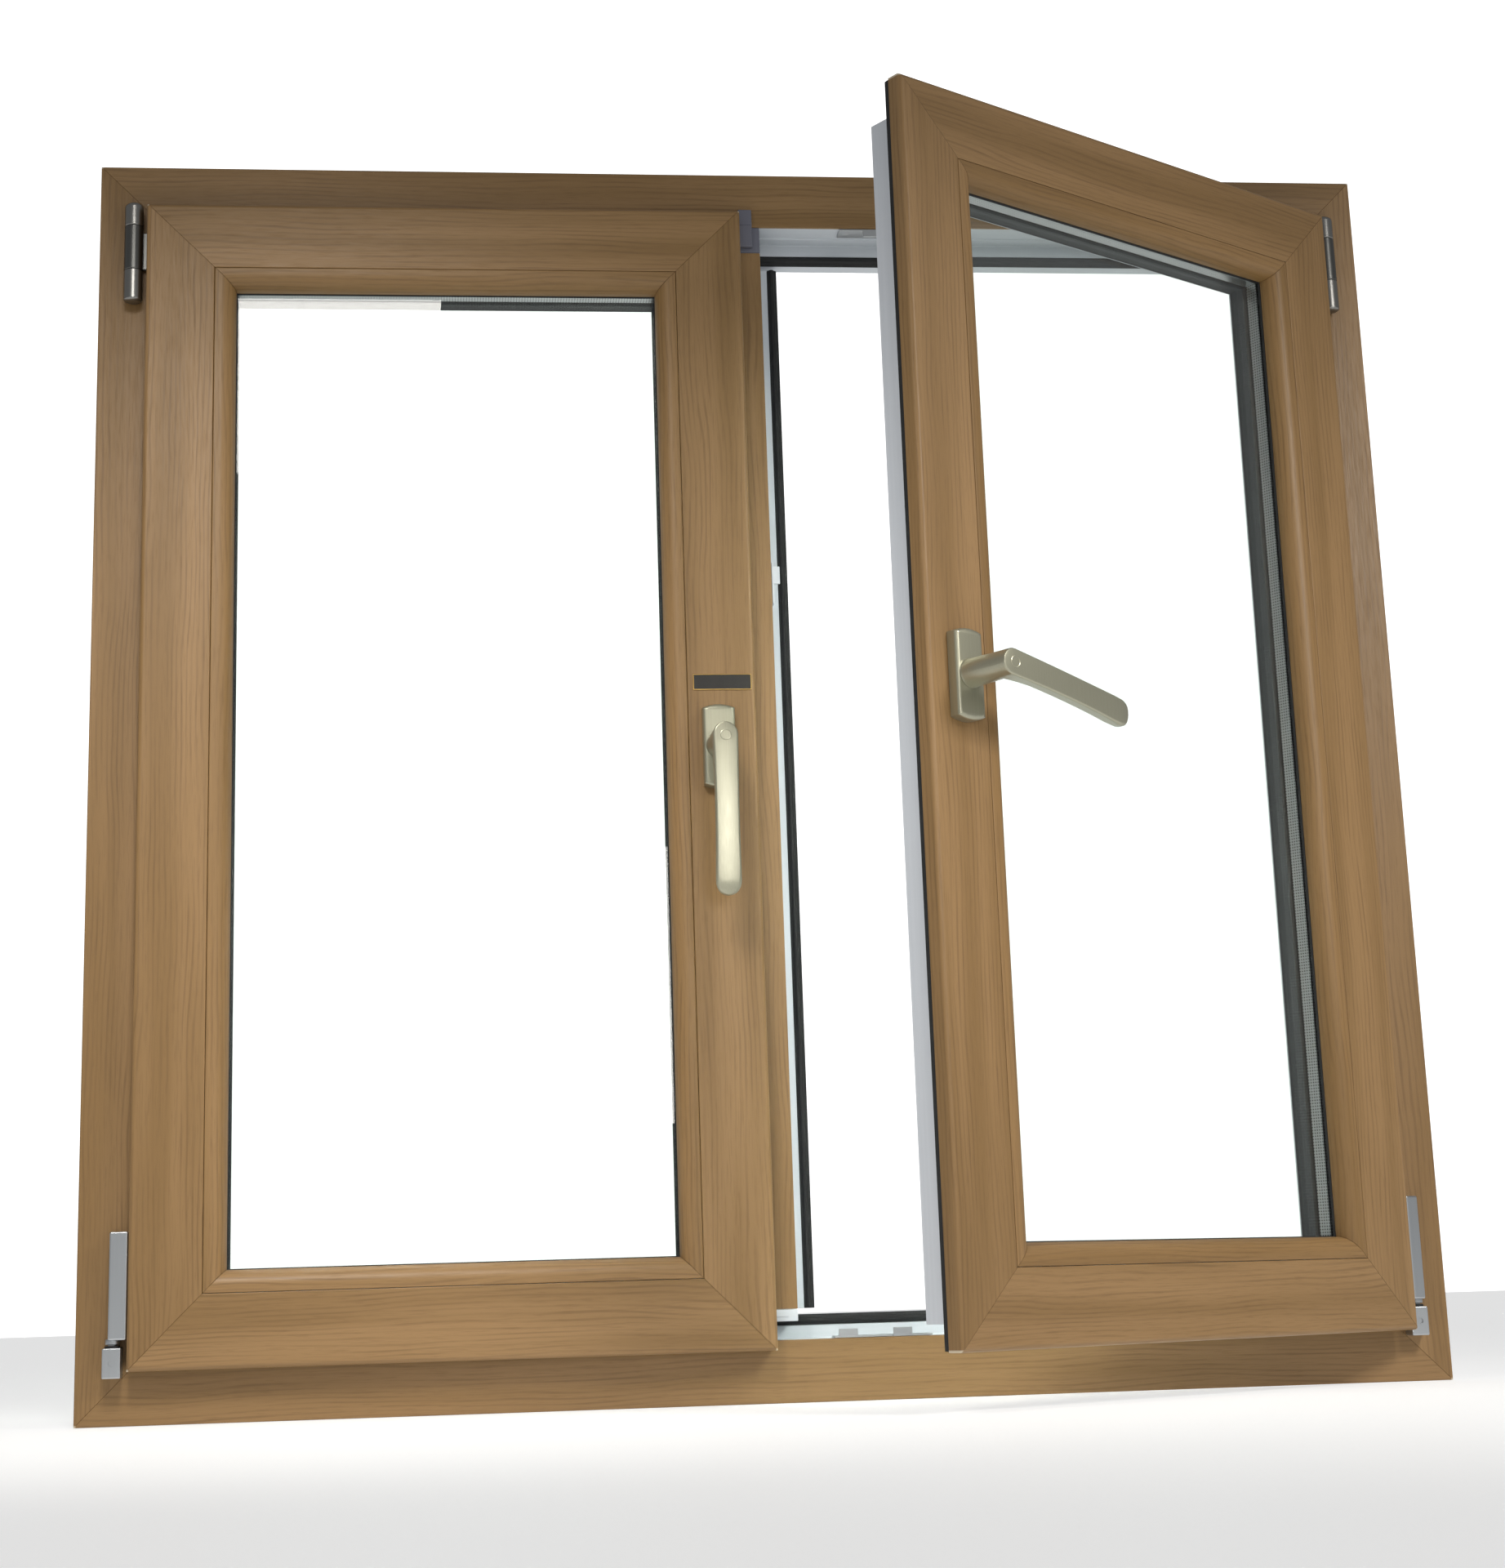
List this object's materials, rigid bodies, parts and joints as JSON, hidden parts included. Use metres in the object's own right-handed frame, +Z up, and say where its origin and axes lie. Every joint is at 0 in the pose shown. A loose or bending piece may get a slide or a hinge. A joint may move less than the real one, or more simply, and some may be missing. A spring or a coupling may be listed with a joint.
{
  "type": "casement window",
  "caption": "Double-leaf inward-opening casement window in wood-grain foiled plastic profile, with insulating glass, a floating mullion, lever handles, locks and hinges.",
  "frame": {"origin": "midpoint of the underside of the sill, at mid-depth of the frame", "axes": "+X along the window towards the leaf that carries the horizontal handle, +Y from the room to outdoors, +Z up"},
  "size_m": [1.15, 0.4014, 1.09],
  "materials": {
    "profile_foil": "oak-grain foil laminated on white PVC-U profile, satin",
    "bead_foil": "oak-grain foil on glazing beads, satin",
    "white_pvc": "bare white PVC-U",
    "cap_plastic": "moulded grey plastic",
    "epdm_gasket": "matt black rubber",
    "float_glass": "clear float glass",
    "spacer_aluminium": "mill-finish perforated",
    "hinge_steel": "satin nickel",
    "hinge_zinc": "satin zinc",
    "keeper_zinc": "bright zinc plate",
    "lock_steel": "zinc-plated steel",
    "handle_champagne": "satin champagne on die-cast metal",
    "badge": "blank dark plate with a gilt rim"
  },
  "bodies": {
    "frame": {"frame_head": "profile_foil", "frame_sill": "profile_foil", "frame_jamb_left": "profile_foil", "frame_jamb_right": "profile_foil", "frame_gasket": "epdm_gasket", "upper_hinge_bracket_left": "hinge_steel", "upper_hinge_bracket_right": "hinge_steel", "lower_hinge_bearing_left": "hinge_zinc", "lower_hinge_bearing_right": "hinge_zinc", "head_keeper": "keeper_zinc", "sill_keeper": "keeper_zinc", "bolt_plate_head": "keeper_zinc", "bolt_plate_sill": "keeper_zinc"},
    "left_sash": {"left_sash_top_rail": "profile_foil", "left_sash_bottom_rail": "profile_foil", "left_sash_hinge_stile": "profile_foil", "left_sash_meeting_stile": "profile_foil", "left_sash_bead_top": "bead_foil", "left_sash_bead_bottom": "bead_foil", "left_sash_bead_hinge": "bead_foil", "left_sash_bead_meeting": "bead_foil", "left_sash_overlap_gasket": "epdm_gasket", "left_sash_pane_inner": "float_glass", "left_sash_pane_outer": "float_glass", "left_sash_glass_spacer": "spacer_aluminium", "left_sash_glazing_gasket": "epdm_gasket", "upper_hinge_leaf_left": "hinge_steel", "lower_hinge_leaf_left": "hinge_zinc", "floating_mullion": "profile_foil", "mullion_gasket": "epdm_gasket", "mullion_cap_top": "cap_plastic", "mullion_cap_bottom": "white_pvc", "mullion_keeper": "white_pvc", "gearbox_left": "keeper_zinc", "handle_rose_left": "handle_champagne", "blank_badge": "badge"},
    "left_handle": {"handle_lever_left": "handle_champagne"},
    "upper_bolt": {"bolt_upper": "lock_steel"},
    "lower_bolt": {"bolt_lower": "lock_steel"},
    "right_sash": {"right_sash_top_rail": "profile_foil", "right_sash_bottom_rail": "profile_foil", "right_sash_hinge_stile": "profile_foil", "right_sash_meeting_stile": "profile_foil", "right_sash_bead_top": "bead_foil", "right_sash_bead_bottom": "bead_foil", "right_sash_bead_hinge": "bead_foil", "right_sash_bead_meeting": "bead_foil", "right_sash_overlap_gasket": "epdm_gasket", "right_sash_pane_inner": "float_glass", "right_sash_pane_outer": "float_glass", "right_sash_glass_spacer": "spacer_aluminium", "right_sash_glazing_gasket": "epdm_gasket", "upper_hinge_leaf_right": "hinge_steel", "lower_hinge_leaf_right": "hinge_zinc", "gearbox_right": "keeper_zinc", "handle_rose_right": "handle_champagne"},
    "right_handle": {"handle_lever_right": "handle_champagne"},
    "stile_rod": {"lock_rod_stile": "lock_steel"},
    "top_rod": {"lock_rod_top": "lock_steel"},
    "bottom_rod": {"lock_rod_bottom": "lock_steel"}
  },
  "joints": [
    {"name": "left_sash_hinge", "type": "hinge", "parent": "frame", "child": "left_sash", "pos_m": [-0.544, -0.04, 0.545], "axis": [0, 0, -1], "range_deg": [0, 90]},
    {"name": "right_sash_hinge", "type": "hinge", "parent": "frame", "child": "right_sash", "pos_m": [0.544, -0.04, 0.545], "axis": [0, 0, 1], "range_deg": [-32, 58]},
    {"name": "left_handle_turn", "type": "hinge", "parent": "left_sash", "child": "left_handle", "pos_m": [-0.038, -0.062, 0.55], "axis": [0, 1, 0], "range_deg": [0, 90]},
    {"name": "right_handle_turn", "type": "hinge", "parent": "right_sash", "child": "right_handle", "pos_m": [0.12994, -0.32468, 0.55], "axis": [-0.5299, 0.848, 0], "range_deg": [-11.5, 78.5]},
    {"name": "upper_bolt_slide", "type": "slide", "parent": "left_sash", "child": "upper_bolt", "axis": [0, 0, -1], "range_m": [0, 0.0195]},
    {"name": "lower_bolt_slide", "type": "slide", "parent": "left_sash", "child": "lower_bolt", "axis": [0, 0, 1], "range_m": [0, 0.0195]},
    {"name": "stile_rod_slide", "type": "slide", "parent": "right_sash", "child": "stile_rod", "axis": [0, 0, 1], "range_m": [-0.0028, 0.0169]},
    {"name": "top_rod_slide", "type": "slide", "parent": "right_sash", "child": "top_rod", "axis": [0.848, 0.5299, 0], "range_m": [-0.0028, 0.0169]},
    {"name": "bottom_rod_slide", "type": "slide", "parent": "right_sash", "child": "bottom_rod", "axis": [-0.848, -0.5299, 0], "range_m": [-0.0028, 0.0169]}
  ],
  "couplings": [
    {"joint": "upper_bolt_slide", "follows": "left_handle_turn", "m_per_rad": 0.012096},
    {"joint": "lower_bolt_slide", "follows": "left_handle_turn", "m_per_rad": 0.012096},
    {"joint": "stile_rod_slide", "follows": "right_handle_turn", "m_per_rad": 0.012096},
    {"joint": "top_rod_slide", "follows": "right_handle_turn", "m_per_rad": 0.012096},
    {"joint": "bottom_rod_slide", "follows": "right_handle_turn", "m_per_rad": 0.012096}
  ]
}
